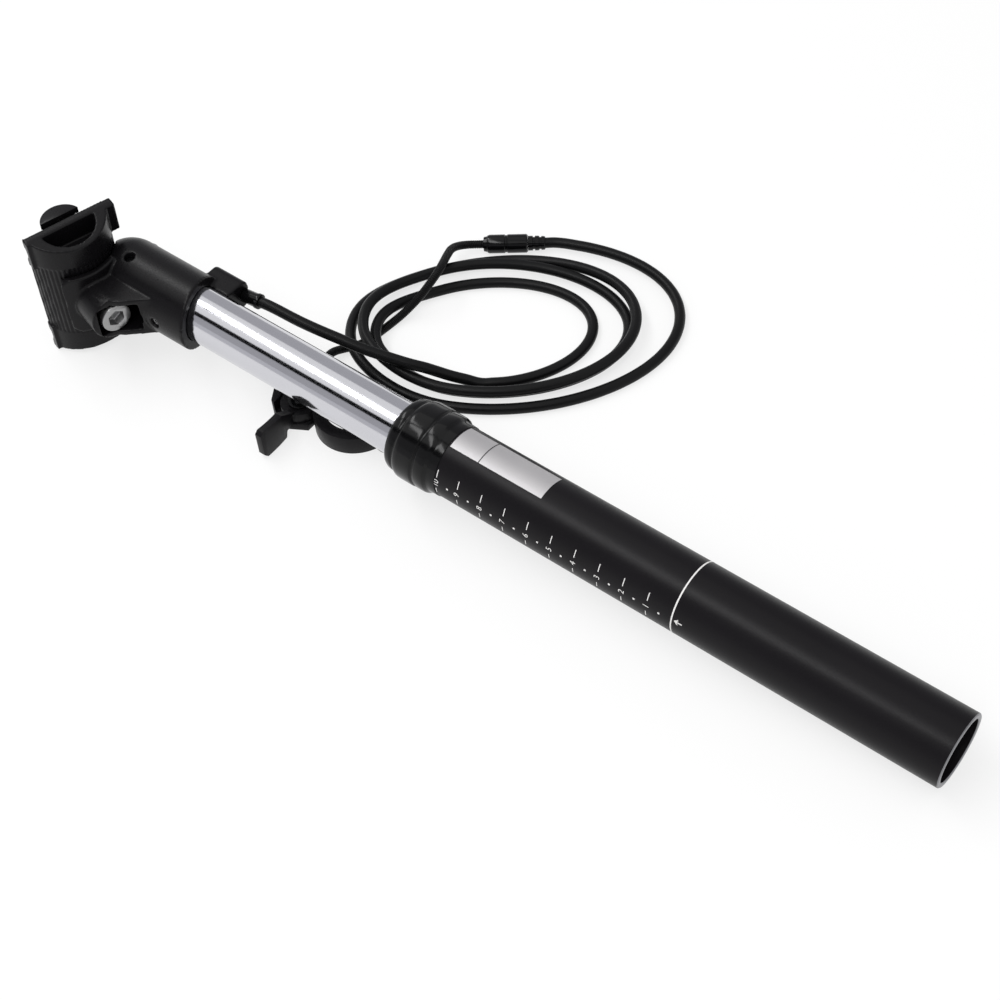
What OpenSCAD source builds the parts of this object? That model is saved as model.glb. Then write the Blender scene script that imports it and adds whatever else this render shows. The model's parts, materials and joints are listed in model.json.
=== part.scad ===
// Dropper seatpost lying on its side with its cable coil and bar remote, in millimetres, +Z up.
// The post is drawn upright along z (0 = lower end of the outer tube), then laid on the floor:
// across the post is local x, the rear of the bike is local y.
// The remote and the cords are drawn on the floor.

/* [Outer tube] */
// outer diameter of the tube that goes in the frame
tube_d = 27.2; // [25.4:0.1:31.6]
// wall of the outer tube
tube_wall = 2.0; // [1.8:0.1:2.2]
// length from the lower end to the collar
tube_len = 200; // [185:1:260]

/* [Collar] */
// largest diameter of the seal collar
collar_d = 30.9; // [30.4:0.1:33]
// length of the seal collar
collar_len = 23.6; // [23:0.2:27]

/* [Sliding tube] */
// outer diameter of the polished inner tube
stanchion_d = 21; // [20.6:0.1:21.2]
// wall of the inner tube
stanchion_wall = 1.7; // [1.5:0.1:2]
// stretch of inner tube seen between the collar and the head
exposed_len = 101; // [99:1:125]
// length of inner tube that stays inside the outer tube
overlap_len = 123; // [120:1:128]
// stroke of the post
travel = 80; // [50:1:80]

/* [Head] */
// diameter of the head's round neck
neck_d = 28.6; // [28:0.1:29.6]
// slant of the lower rim of the head
rim_slant = 14; // [4:1:16]
// depth of the socket that takes the inner tube
socket_depth = 17.4; // [16:0.2:18.6]
// height of the clamp axis above the middle of the rim
clamp_rise = 56; // [55.5:0.1:57]
// distance of the clamp axis behind the post axis
setback = 11.6; // [11.2:0.1:12]
// angle of the saddle rails to the square of the post
rail_tilt = 16; // [14:0.5:17]

/* [Saddle clamp] */
// radius of the ribbed rocker
rocker_r = 17.3; // [17:0.1:17.6]
// width of the clamp across the rails
clamp_w = 57; // [56:0.5:62]
// rail diameter
rail_d = 7; // [7:0.1:7.4]
// distance between the two rails
rail_gap = 44; // [43:0.5:45]
// angle from one rib to the next
rib_step = 6; // [5:1:9]
// width of the head's cradle under the rocker
cradle_w = 27.6; // [26:0.2:30]
// thread diameter of the clamp bolt
bolt_d = 8; // [7:0.5:8]
// diameter of the bolt's head
bolt_head_d = 12; // [11.4:0.1:12.4]

/* [Remote and cable] */
// handlebar diameter
bar_d = 22.2; // [22:0.1:22.6]
// wall of the bar ring
ring_wall = 4.8; // [4.4:0.1:5.4]
// height of the remote as it lies
remote_h = 8; // [7.6:0.1:8.2]
// length of the thumb blade from its pivot
blade_len = 25; // [20:0.5:28]
// diameter of the smooth cable housing
cable_d = 4.3; // [4:0.1:4.5]
// diameter of the ribbed housing
tail_d = 3.4; // [3:0.1:3.6]

/* [Fits] */
// radial clearance of sliding and turning fits
run_fit = 0.05; // [0.04:0.01:0.08]
// clearance between pieces that pass each other
gap = 0.3; // [0.25:0.05:0.4]

/* [Hidden] */
$fn = 72;
eps = 0.01;
tube_black = [0.13, 0.12, 0.13];
satin_black = [0.09, 0.09, 0.10];
gloss_black = [0.05, 0.05, 0.06];
polished = [0.80, 0.81, 0.83];
steel = [0.64, 0.64, 0.66];
brass = [0.78, 0.62, 0.30];
rubber = [0.07, 0.07, 0.07];
polymer = [0.30, 0.31, 0.33];

tube_r = tube_d / 2;
bore_r = tube_r - tube_wall;
spigot_r = tube_r - 0.2;
collar_r = collar_d / 2;
stan_r = stanchion_d / 2;
stan_bore_r = stan_r - stanchion_wall;
neck_r = neck_d / 2;
rail_r = rail_d / 2;
bolt_r = bolt_d / 2;

// stations along the post
collar_top = tube_len + collar_len;
tube_top = tube_len + 14;
bush_len = 24;
stan_low = collar_top - overlap_len;
rim_z = collar_top + exposed_len;
socket_top = rim_z + socket_depth;
dome_z = rim_z + 36.1;
clamp_z = rim_z + clamp_rise;

// inner works
plug_low = 8;
plug_top = 13;
cart_low = stan_low + 12;
cart_r = stan_bore_r - 0.8;
cart_bore_r = cart_r - 1.6;
cart_top = cart_low + 190;
rod_r = 4;
piston_low = cart_low + 12;
piston_h = 10;
key_r = 1.5;
key_z = stan_low + 20;
key_depth = 1;
pin_r = 1.5;
valve_top = rim_z + 26.3;
pivot_y = 2.5;
pivot_z = rim_z + 32;
pivot_r = 2;
lever_half = 2.9;

// clamp stack, measured from the clamp axis along the bolt
flat_low = -2.2;
cover_low = 1;
cover_top = 7.5;
cover_half = 10;
nut_low = 6.5;
bolt_up = 12;
seat_r = 24.3;
washer_low = -27.3;
bolt_face = -32.8;
boss_low = -32;
boss_r = 9.6;
cradle_wall = 2.6;
cradle_fore = 42;
cradle_back = 38;
cradle_round = 16.8;
web_w = 18.4;
flange_low = -6.4;
flange_fore = -19.8;
flange_back = 17.5;
flange_from = 15.6;
groove_half = sqrt(rocker_r * rocker_r - flat_low * flat_low);
end_slant = 12;
pocket_r = 11.1;
pocket_mid = -4.1;
pocket_top = -5.6;
pocket_deep = 9;
cover_mid_w = 26;
cover_end_half = 8;
cover_end_top = 7;
bolt_back = 0.8;
bolt_fore = 3.4;
tilt_fore = atan(bolt_fore / 30);
tilt_back = atan(bolt_back / 30);
slot_fore = asin((bolt_r + 2 * gap) / rocker_r) + tilt_fore;
slot_back = asin((bolt_r + 2 * gap) / rocker_r) + tilt_back;
seat_fore = asin((bolt_head_d / 2 + 2 * gap) / seat_r) + tilt_fore;
seat_back = asin((bolt_head_d / 2 + 2 * gap) / seat_r) + tilt_back;
function arch_r(half, rise) = (half * half + rise * rise) / (2 * rise);
cover_arc = arch_r(cover_half, cover_top - cover_low);
cover_end_arc = arch_r(cover_end_half, cover_end_top - cover_low);

// cable stop on the front of the head
stop_y = -16.9;
stop_tilt = 6.5;
stop_r = 2.75;
stop_low = rim_z - 6.6;
stop_high = rim_z + 8.4;
ferrule_len = 8;
hook_up = 44.8;
hook_r = 2.1;
hook_y = stop_y + hook_up * sin(stop_tilt);
hook_z = stop_low + hook_up * cos(stop_tilt);

// how the post lies
lean = atan((clamp_w / 2 - tube_r) / (clamp_z - rocker_r));
axis_h = tube_r * cos(lean);
far_x = cos(lean) * (clamp_z + bolt_up * cos(rail_tilt))
    + bolt_r * sqrt(pow(sin(rail_tilt) * cos(lean), 2) + pow(sin(lean), 2));
mid_x = (far_x - tube_r * sin(lean)) / 2;
ring_r = bar_d / 2 + ring_wall;
ring_x = 257;
ring_y = -7.8;
mid_y = (setback + rocker_r + ring_y - ring_r) / 2;

// remote, measured from the middle of the bar ring
lever_x = 20;
lever_y = 8.8;
hub_r = 7.4;
hub_low = 3.3;
hub_high = remote_h - 0.5;
bush_r = 3.2;
barrel_x = 29;
barrel_z = 4;
barrel_r = 3.2;
barrel_end = -15.6;

// coil: an oval that grows and drifts with each turn, in turns u
// its third turn lies on the others, and the first three arch over the ribbed cable
coil_x = 240.1;
coil_y = -74;
coil_slide_x = 0.1;
coil_slide_y = -0.3;
coil_drift_x = -0.45;
coil_drift_y = -2.25;
coil_long = 48.75;
coil_short = 27.75;
coil_long_step = 1.82;
coil_short_step = 4.22;
coil_long_swell = 12.35;
coil_short_swell = 2.45;
coil_turn = 36.8;
coil_phase = 70;
coil_mid = 1.75;
coil_from = 0.06;
coil_to = 3.513;
coil_rings = 24;
coil_steps = round((coil_to - coil_from) * coil_rings);
coil_lift = cable_d + 0.55;
lift_from = 1.33;
lift_to = 2.33;
lift_ramp = 0.3;
coil_arch = tail_d + 0.9;
arch_from = 0.64;
arch_to = 0.86;
arch_ramp = 0.14;
adjuster_turn = 11;
sleeve_r = 3.8;
sleeve_len = 18;
nose_r = 3;
nose_len = 7;

function swell(u) = pow((u - coil_mid) / 1.5, 3);
function ease(t) = t <= 0 ? 0 : t >= 1 ? 1 : t * t * (3 - 2 * t);
function coil_long_at(u) = coil_long + coil_long_step * u + coil_long_swell * swell(u);
function coil_short_at(u) = coil_short + coil_short_step * u + coil_short_swell * swell(u);
function coil_dx(u) = coil_long_at(u) * cos(360 * u + coil_phase);
function coil_dy(u) = coil_short_at(u) * sin(360 * u + coil_phase);
function coil_lift_at(u) = coil_lift
    * (ease((u - lift_from) / lift_ramp) - ease((u - lift_to) / lift_ramp));
function coil_arch_at(u) = u >= 3 ? 0 : coil_arch
    * (ease((u - floor(u) - arch_from) / arch_ramp) - ease((u - floor(u) - arch_to) / arch_ramp));
function coil_end_at(u) = (sleeve_r - cable_d / 2) * ease((u - coil_to + 0.3) / 0.28);
function coil_at(u) = [
    coil_x - mid_x + coil_slide_x * (u - coil_mid) + coil_drift_x * swell(u)
        + cos(coil_turn) * coil_dx(u) - sin(coil_turn) * coil_dy(u),
    coil_y - mid_y + coil_slide_y * (u - coil_mid) + coil_drift_y * swell(u)
        + sin(coil_turn) * coil_dx(u) + cos(coil_turn) * coil_dy(u),
    cable_d / 2 + coil_lift_at(u) + coil_arch_at(u) + coil_end_at(u)
];
function unit(v) = v / norm(v);
coil_start_dir = unit(coil_at(coil_from + 0.005) - coil_at(coil_from));
coil_end = coil_at(coil_to);
coil_end_raw = coil_end - coil_at(coil_to - 0.005);
coil_end_angle = atan2(coil_end_raw[1], coil_end_raw[0]) + adjuster_turn;
coil_end_dir = [cos(coil_end_angle), sin(coil_end_angle), 0];
coil_path = concat(
    [for (i = [0:coil_steps]) coil_at(coil_from + (coil_to - coil_from) * i / coil_steps)],
    [coil_end + coil_end_dir * cable_d]
);
nose_from = coil_end + coil_end_dir * cable_d;
sleeve_from = nose_from + coil_end_dir * nose_len;
tail_from = sleeve_from + coil_end_dir * sleeve_len;

// least distance between the centre lines of two strands of the coil
coil_gap = min([for (i = [0:coil_steps]) for (j = [i + 12:1:coil_steps])
    norm(coil_path[i] - coil_path[j])]) - cable_d;
echo(coil_least_gap_mm = coil_gap);

// smooth cable from the stop on the head down to the coil
function lie(p) = [
    p[0] * sin(lean) + p[2] * cos(lean) - mid_x,
    p[1] - mid_y,
    axis_h - p[0] * cos(lean) + p[2] * sin(lean)
];
function stop_point(t) = lie([0, stop_y + t * sin(stop_tilt), stop_low + t * cos(stop_tilt)]);
run_path = concat(
    [stop_point(-ferrule_len), stop_point(-ferrule_len - cable_d)],
    [[95.7, -22.5, 24], [87.6, -24.3, 22.2], [79.6, -26.4, 20.4], [71.8, -28.6, 18.4],
    [64.6, -31.4, 16.4], [58.6, -34, 14.6], [53.5, -36.5, 13], [50, -39.1, 11.2], [46.9, -42.1, 8.4],
    [42.7, -45.1, 5.8], [37.8, -48.4, 3.6]],
    [coil_at(coil_from) - coil_start_dir * cable_d, coil_at(coil_from)]
);

// ribbed cable from the inline adjuster over the far side of the coil, under its near end, to the remote
barrel_mouth = [ring_x + barrel_x - mid_x, ring_y + barrel_end - mid_y, barrel_z];
tail_path = concat(
    [tail_from, tail_from + coil_end_dir * tail_d],
    [[83.6, -106.8, 4.5], [84.8, -103.1, 6], [84.3, -99.2, 8], [81.6, -93.4, 11], [78.6, -87.2, 13.2],
    [76.4, -80.8, 13.8], [76.1, -75.2, 12.2], [77.4, -70.8, 8.8], [79.2, -66.8, 5.6], [80.8, -62.2, 3.2],
    [82, -57.2, 2.1], [82.8, -52, 1.8], [83.5, -46.8, 1.8], [84.8, -42.2, 1.8], [86.8, -38.4, 1.9],
    [88.7, -34.8, 2.6], [89.7, -31.6, 3.5]],
    [barrel_mouth - [0, tail_d, 0], barrel_mouth]
);

// lays the upright post on its side
module lying()
    translate([-mid_x, -mid_y, axis_h])
        rotate([0, 90 - lean, 0])
            children();

// frame of the saddle clamp: x across, y along the rails to the rear, z up through the bolt
module clamp_frame()
    translate([0, setback, clamp_z])
        rotate([rail_tilt, 0, 0])
            children();

// frame of the cable stop: z runs up the wire to the lever's hook
module stop_frame()
    translate([0, stop_y, stop_low])
        rotate([-stop_tilt, 0, 0])
            children();

// frame of the remote on the floor, from the middle of its ring
module on_floor()
    translate([ring_x - mid_x, ring_y - mid_y, 0])
        children();

module tube(r_out, r_in, z_low, z_high)
    difference() {
        translate([0, 0, z_low])
            cylinder(r = r_out, h = z_high - z_low);
        translate([0, 0, z_low - 1])
            cylinder(r = r_in, h = z_high - z_low + 2);
    }

// cylinder across the post, centred on x = 0
module across(r, w)
    rotate([0, 90, 0])
        translate([0, 0, -w / 2])
            cylinder(r = r, h = w);

// sector of a ring about the x axis, from angle a to b measured from straight down towards +y
module ring_sector(r_in, r_out, w, a, b)
    rotate([a, 0, 0])
        rotate([0, 90, 0])
            rotate_extrude(angle = b - a)
                translate([r_in, -w / 2])
                    square([r_out - r_in, w]);

// hexagonal recess or nut across the flats
module hex(flats, h)
    cylinder(r = flats / sqrt(3), h = h, $fn = 6);

// tube swept along a path of points, round section of a few sides, ribs as larger rings
module sweep(path, sides, radii) {
    n = len(path);
    function tangent(i) = unit(path[min(i + 1, n - 1)] - path[max(i - 1, 0)]);
    function side(i) = unit(cross(tangent(i), [0, 0, 1]));
    function rise(i) = cross(side(i), tangent(i));
    function corner(i, k) = path[i]
        + radii[i] * (cos(360 * k / sides) * side(i) + sin(360 * k / sides) * rise(i));
    rings = [for (i = [0:n - 1]) for (k = [0:sides - 1]) corner(i, k)];
    walls = [for (i = [0:n - 2]) for (k = [0:sides - 1]) for (t = [0:1])
        t == 0
            ? [i * sides + k, i * sides + (k + 1) % sides, (i + 1) * sides + k]
            : [i * sides + (k + 1) % sides, (i + 1) * sides + (k + 1) % sides, (i + 1) * sides + k]];
    first = [for (k = [1:sides - 2]) [0, k + 1, k]];
    last = [for (k = [1:sides - 2]) [(n - 1) * sides, (n - 1) * sides + k, (n - 1) * sides + k + 1]];
    polyhedron(points = rings, faces = concat(walls, first, last), convexity = 10);
}

// tube turned down for the collar, with three keyways inside, a circlip groove and an open lower end
module outer_tube()
    color(tube_black)
        lying()
            rotate([0, 0, 120])
                difference() {
                    union() {
                        tube(tube_r, bore_r, 0, tube_len);
                        tube(spigot_r, bore_r, tube_len - eps, tube_top);
                    }
                    for (k = [0:2])
                        rotate([0, 0, 120 * k])
                            translate([0, -key_r - 2 * run_fit, key_z - travel - 3])
                                cube([bore_r + key_depth + 0.2, 2 * key_r + 4 * run_fit, travel + 6]);
                    translate([0, 0, plug_low - 1.4])
                        cylinder(r = bore_r + 0.6, h = 1.4);
                }

// turned seal collar screwed over the top of the outer tube
module collar()
    color(gloss_black)
        lying()
            difference() {
                rotate_extrude()
                    polygon([
                        [stan_r + 0.5, tube_len + gap], [tube_r + 0.2, tube_len + gap],
                        [collar_r - 0.9, tube_len + 3.6], [collar_r - 0.3, tube_len + 5],
                        [collar_r - 0.2, tube_len + 8.6], [collar_r - 0.7, tube_len + 9],
                        [collar_r - 0.7, tube_len + 9.8], [collar_r, tube_len + 10.2],
                        [collar_r, tube_len + 17.6], [collar_r - 0.5, tube_len + 18.6],
                        [collar_r - 1.8, tube_len + 18.8],
                        [collar_r - 1.8, tube_len + 19.6], [collar_r - 1.5, tube_len + 20],
                        [collar_r - 1.6, collar_top - 2.2], [collar_r - 2.1, collar_top - 1],
                        [collar_r - 2.8, collar_top - 0.4], [stan_r + 0.5, collar_top - 0.4]
                    ]);
                translate([0, 0, tube_len - 1])
                    cylinder(r = spigot_r + 0.02, h = tube_top - tube_len + 1);
                translate([0, 0, tube_top - eps])
                    cylinder(r = tube_r - 0.8, h = 1.6 + eps);
                translate([0, 0, collar_top - 4])
                    cylinder(r = stan_r + 1.9, h = 5);
            }

// rubber wiper in the mouth of the collar
module wiper_seal()
    color(rubber)
        lying()
            rotate_extrude()
                polygon([
                    [stan_r + run_fit, collar_top - 3.9], [stan_r + 1.85, collar_top - 3.9],
                    [stan_r + 1.85, collar_top - 0.2], [stan_r + 0.9, collar_top + 0.5],
                    [stan_r + run_fit, collar_top + 1.1]
                ]);

// flanged guide bush in the top of the outer tube
module upper_bush()
    color(polymer)
        lying()
            rotate([0, 0, 65]) {
                tube(bore_r - 0.03, stan_r + run_fit, tube_top - bush_len, tube_top);
                tube(tube_r - 0.85, stan_r + run_fit, tube_top, tube_top + 1.5);
            }

// disc that anchors the cartridge rod in the lower end
module bottom_plug()
    color(satin_black)
        lying()
            tube(bore_r - 0.03, rod_r - 0.95, plug_low, plug_top);

// snap ring that holds the plug
module plug_circlip()
    color(steel)
        lying()
            rotate([0, 0, 60])
                difference() {
                    tube(bore_r + 0.5, bore_r - 1.4, plug_low - 1.35, plug_low - 0.02);
                    translate([0, -2, plug_low - 3])
                        cube([bore_r + 2, 4, 4]);
                }

// cartridge rod standing on the plug
module piston_rod()
    color(polished)
        lying() {
            translate([0, 0, plug_top])
                cylinder(r = rod_r, h = piston_low - plug_top);
            translate([0, 0, plug_low - 5.5])
                cylinder(r = rod_r - 1, h = plug_top - plug_low + 5.5 + eps);
        }

// nut under the plug
module rod_nut()
    color(steel)
        lying()
            difference() {
                translate([0, 0, plug_low - 5])
                    hex(10, 5);
                translate([0, 0, plug_low - 6])
                    cylinder(r = rod_r - 0.98, h = 7);
            }

// piston on the rod's upper end, with a groove for its seal
module piston()
    color(brass)
        lying()
            difference() {
                translate([0, 0, piston_low])
                    cylinder(r = cart_bore_r - run_fit - 0.03, h = piston_h);
                tube(cart_bore_r + 1, cart_bore_r - 1.2, piston_low + 4, piston_low + 6);
            }

// square-section seal in the piston's groove
module piston_seal()
    color(rubber)
        lying()
            tube(cart_bore_r - 0.04, cart_bore_r - 1.18, piston_low + 4.02, piston_low + 5.98);

// polished inner tube, drilled near its lower end for the guide keys
module stanchion()
    color(polished)
        lying()
            difference() {
                tube(stan_r, stan_bore_r, stan_low, socket_top - 0.05);
                for (k = [0:2])
                    rotate([0, 0, 120 * k])
                        translate([0, 0, key_z])
                            rotate([0, 90, 0])
                                cylinder(r = key_r + 0.02, h = stan_r + 5);
            }

// sleeve on the lower end of the inner tube that slides in the outer tube
module lower_glide()
    color(polymer)
        lying()
            tube(bore_r - 2 * run_fit, stan_r + 0.02, stan_low + 2, stan_low + 16);

// three pins that stop the post from turning
module guide_keys()
    color(brass)
        lying()
            for (k = [0:2])
                rotate([0, 0, 120 * k])
                    translate([stan_bore_r + 0.1, 0, key_z])
                        rotate([0, 90, 0])
                            cylinder(r = key_r, h = bore_r + key_depth - stan_bore_r - 0.1);

// lower gland of the cartridge, which the rod runs through
module cartridge_gland()
    color(brass)
        lying()
            difference() {
                union() {
                    translate([0, 0, stan_low + 1])
                        cylinder(r = stan_bore_r - 0.03, h = cart_low - stan_low - 1);
                    translate([0, 0, cart_low - eps])
                        cylinder(r = cart_bore_r - 0.02, h = 6);
                }
                translate([0, 0, stan_low])
                    cylinder(r = rod_r + run_fit, h = 30);
            }

// pressure tube of the cartridge
module cartridge_body()
    color(steel)
        lying()
            tube(cart_r, cart_bore_r, cart_low, cart_top);

// valve head that closes the cartridge
module valve_head()
    color(satin_black)
        lying()
            difference() {
                union() {
                    translate([0, 0, cart_top])
                        cylinder(r = stan_bore_r - 0.03, h = 14);
                    translate([0, 0, cart_top - 6])
                        cylinder(r = cart_bore_r - 0.02, h = 6 + eps);
                }
                translate([0, 0, cart_top - 7])
                    cylinder(r = pin_r + run_fit, h = 30);
            }

// release pin that the actuator lever presses
module valve_pin()
    color(steel)
        lying()
            translate([0, 0, cart_top - 4])
                cylinder(r = pin_r, h = valve_top - cart_top + 4);

// forged head: round neck with a domed top, cradle, bolt boss, side webs and cable stop
module head_blank() {
    difference() {
        union() {
            translate([0, 0, rim_z - 8])
                cylinder(r = neck_r, h = dome_z - rim_z + 8);
            translate([0, 0, dome_z])
                sphere(r = neck_r);
        }
        translate([0, 0, rim_z])
            rotate([-rim_slant, 0, 0])
                translate([-40, -40, -40])
                    cube([80, 80, 40]);
    }
    clamp_frame() {
        intersection() {
            ring_sector(rocker_r + gap, rocker_r + gap + cradle_wall, cradle_w, -cradle_fore, cradle_back);
            translate([0, 0, boss_low])
                cylinder(r = cradle_round, h = -boss_low);
        }
        translate([0, 0, boss_low])
            cylinder(r = boss_r, h = -boss_low - rocker_r + 1);
    }
    translate([-web_w / 2, 0, 0])
        rotate([90, 0, 90])
            linear_extrude(web_w)
                polygon([
                    [2, rim_z + 11], [neck_r - 4, rim_z + 12], [neck_r, rim_z + 16.8],
                    [neck_r + 3, rim_z + 19.8], [setback + 8.4, clamp_z - 33.2],
                    [setback + 12, clamp_z - 27], [setback + 8, clamp_z - 14], [2, clamp_z - 10]
                ]);
    translate([0, 0, stop_low]) {
        translate([-6, stop_y, 0])
            cube([12, -stop_y - neck_r + 6, stop_high - stop_low]);
        translate([-3, stop_y - 3, 0])
            cube([6, 6, stop_high - stop_low]);
        for (side = [-1, 1])
            translate([3 * side, stop_y, 0])
                cylinder(r = 3, h = stop_high - stop_low);
    }
}

module head()
    color(satin_black)
        lying()
            difference() {
                head_blank();
                // socket of the inner tube, hole of the release pin and slot of the actuator lever
                translate([0, 0, rim_z - socket_depth])
                    cylinder(r = stan_r + 0.02, h = 2 * socket_depth);
                translate([0, 0, socket_top - 1])
                    cylinder(r = pin_r + 1, h = 12);
                translate([-lever_half - gap, -neck_r - 8, valve_top - 2])
                    cube([2 * (lever_half + gap), neck_r + 16, 21]);
                translate([0, pivot_y, pivot_z])
                    across(pivot_r + 0.02, neck_d + 4);
                // grub screw at the rear
                translate([0, 0, rim_z + 11])
                    rotate([-90, 0, 0])
                        cylinder(r = 2.02, h = neck_r + 4);
                // cable stop
                stop_frame() {
                    translate([0, 0, -1])
                        cylinder(r = stop_r - 0.88, h = 6);
                    cylinder(r = 0.9, h = hook_up);
                }
                // room for the rocker, slot for the bolt and its seat
                clamp_frame() {
                    across(rocker_r + gap, clamp_w + 6);
                    ring_sector(rocker_r - 4, seat_r + 4, bolt_d + 2 * gap, -slot_fore, slot_back);
                    intersection() {
                        ring_sector(seat_r, seat_r + neck_r, bolt_head_d + 4 * gap, -seat_fore, seat_back);
                        translate([-neck_r, -2 * neck_r, -seat_r - neck_r])
                            cube([neck_d, 2 * neck_r + bolt_head_d / 2 + 3 * gap, seat_r + neck_r]);
                    }
                }
            }

// set screw that locks the head on the inner tube
module head_grub_screw()
    color(steel)
        lying()
            translate([0, stan_r + 0.1, rim_z + 11])
                rotate([-90, 0, 0])
                    difference() {
                        cylinder(r = 2, h = 2.4);
                        translate([0, 0, 1])
                            hex(2, 3);
                    }

// pin across the neck that the actuator lever turns on
module actuator_pin()
    color(steel)
        lying()
            translate([0, pivot_y, pivot_z])
                across(pivot_r, neck_d - 5);

// lever in the head: its nose presses the release pin, its hook holds the wire
module actuator_lever()
    color(satin_black)
        lying()
            difference() {
                union() {
                    translate([0, pivot_y, pivot_z])
                        across(4.4, 2 * lever_half);
                    translate([0, hook_y, hook_z])
                        across(hook_r + 1.5, 2 * lever_half);
                    translate([-lever_half, 0, 0])
                        rotate([90, 0, 90])
                            linear_extrude(2 * lever_half)
                                polygon([
                                    [pivot_y - 2, pivot_z - 4], [pivot_y - 4.4, pivot_z - 5.4],
                                    [pivot_y - 6, pivot_z - 3], [hook_y + 1, hook_z - hook_r - 1.2],
                                    [hook_y + 1, hook_z + hook_r + 1.2], [pivot_y, pivot_z + 4]
                                ]);
                }
                translate([0, pivot_y, pivot_z])
                    across(pivot_r + run_fit, 20);
                translate([0, hook_y, hook_z])
                    across(hook_r, 20);
                translate([-1, hook_y - 5, hook_z - 8])
                    cube([2, 10, 8]);
            }

// bare wire out of the stop, with its barrel end in the lever's hook
module inner_wire()
    color(steel)
        lying()
            stop_frame() {
                translate([0, 0, -1.4])
                    cylinder(r = 0.6, h = hook_up + 1.4);
                translate([0, 0, hook_up])
                    across(hook_r - 0.8, 4.6);
            }

// end cap of the housing in the cable stop
module cable_ferrule()
    color(gloss_black)
        lying()
            stop_frame()
                difference() {
                    union() {
                        translate([0, 0, -ferrule_len])
                            cylinder(r = stop_r, h = ferrule_len - 0.4);
                        translate([0, 0, -ferrule_len])
                            cylinder(r = stop_r + gap, h = 1.6);
                        translate([0, 0, -1])
                            cylinder(r = stop_r - 0.9, h = 5.9);
                    }
                    translate([0, 0, -ferrule_len + 1.6])
                        cylinder(r = 0.9, h = 30);
                }

// ribbed half-round rocker with hollow ends and two rail grooves
module lower_clamp()
    color(satin_black)
        lying()
            clamp_frame()
                difference() {
                    union() {
                        across(rocker_r, clamp_w);
                        for (side = [-1, 1])
                            translate([
                                side * (clamp_w / 2 + flange_from) / 2,
                                (flange_fore + flange_back) / 2,
                                flange_low / 2
                            ])
                                cube([clamp_w / 2 - flange_from, flange_back - flange_fore, -flange_low],
                                    center = true);
                    }
                    translate([-clamp_w, -2 * rocker_r, flat_low])
                        cube([2 * clamp_w, 4 * rocker_r, 2 * rocker_r]);
                    // rail grooves, relieved outside the round of the rocker
                    for (side = [-1, 1])
                        for (turn = [-90, 90])
                            translate([side * rail_gap / 2, 0, 0])
                                rotate([turn, 0, 0]) {
                                    cylinder(r = rail_r + 0.02, h = 2 * rocker_r);
                                    translate([0, 0, groove_half])
                                        cylinder(r = rail_r + 2 * gap, h = rocker_r);
                                }
                    // slanted ends with hollow pockets
                    for (turn = [0, 180])
                        rotate([0, 0, turn])
                            translate([clamp_w / 2, 0, 0]) {
                                translate([0, 0, 2 * flat_low])
                                    rotate([0, end_slant, 0])
                                        translate([0, -2 * rocker_r, -2 * rocker_r])
                                            cube([rocker_r, 4 * rocker_r, 2 * rocker_r]);
                                difference() {
                                    translate([0, 0, pocket_mid])
                                        across(pocket_r, 2 * pocket_deep);
                                    translate([-2 * pocket_deep, -2 * pocket_r, pocket_top])
                                        cube([4 * pocket_deep, 4 * pocket_r, 2 * pocket_r]);
                                }
                            }
                    for (a = [-78:rib_step:78])
                        rotate([a, 0, 0])
                            translate([0, 0, -rocker_r])
                                rotate([45, 0, 0])
                                    cube([34, 0.8, 0.8], center = true);
                    translate([0, 0, -40])
                        cylinder(r = bolt_r + 0.1, h = 60);
                }

// arched cover that presses the rails down, narrower over the rails
module upper_clamp()
    color(satin_black)
        lying()
            clamp_frame()
                difference() {
                    union() {
                        translate([0, 0, cover_top - cover_arc])
                            across(cover_arc, cover_mid_w);
                        translate([0, 0, cover_end_top - cover_end_arc])
                            across(cover_end_arc, clamp_w - 1);
                    }
                    translate([-clamp_w, -30, cover_low - 60])
                        cube([2 * clamp_w, 60, 60]);
                    for (side = [-1, 1])
                        translate([side * rail_gap / 2, 0, 0])
                            rotate([90, 0, 0])
                                translate([0, 0, -30])
                                    cylinder(r = rail_r + 0.02, h = 60);
                    translate([0, 0, nut_low])
                        cylinder(r = 8.6, h = 10);
                    cylinder(r = bolt_r + 0.1, h = 30);
                }

// cap screw that pulls the clamp together
module clamp_bolt()
    color(steel)
        lying()
            clamp_frame()
                difference() {
                    union() {
                        translate([0, 0, bolt_face])
                            cylinder(r = bolt_head_d / 2, h = washer_low - bolt_face);
                        translate([0, 0, washer_low - eps])
                            cylinder(r = bolt_r, h = bolt_up - washer_low + eps);
                    }
                    translate([0, 0, bolt_face - 1])
                        hex(6, 4.5);
                }

// washer with a curved face that slides on the head's seat
module bolt_washer()
    color(steel)
        lying()
            clamp_frame()
                difference() {
                    translate([0, 0, washer_low])
                        cylinder(r = bolt_head_d / 2, h = -washer_low - rocker_r);
                    across(seat_r + gap, 3 * bolt_head_d);
                    translate([0, 0, washer_low - 1])
                        cylinder(r = bolt_r + 0.05, h = -washer_low);
                }

// nut on the cover
module clamp_nut()
    color(steel)
        lying()
            clamp_frame()
                difference() {
                    translate([0, 0, nut_low])
                        hex(13, 4.5);
                    translate([0, 0, nut_low - 1])
                        cylinder(r = bolt_r + 0.02, h = 10);
                }

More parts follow.
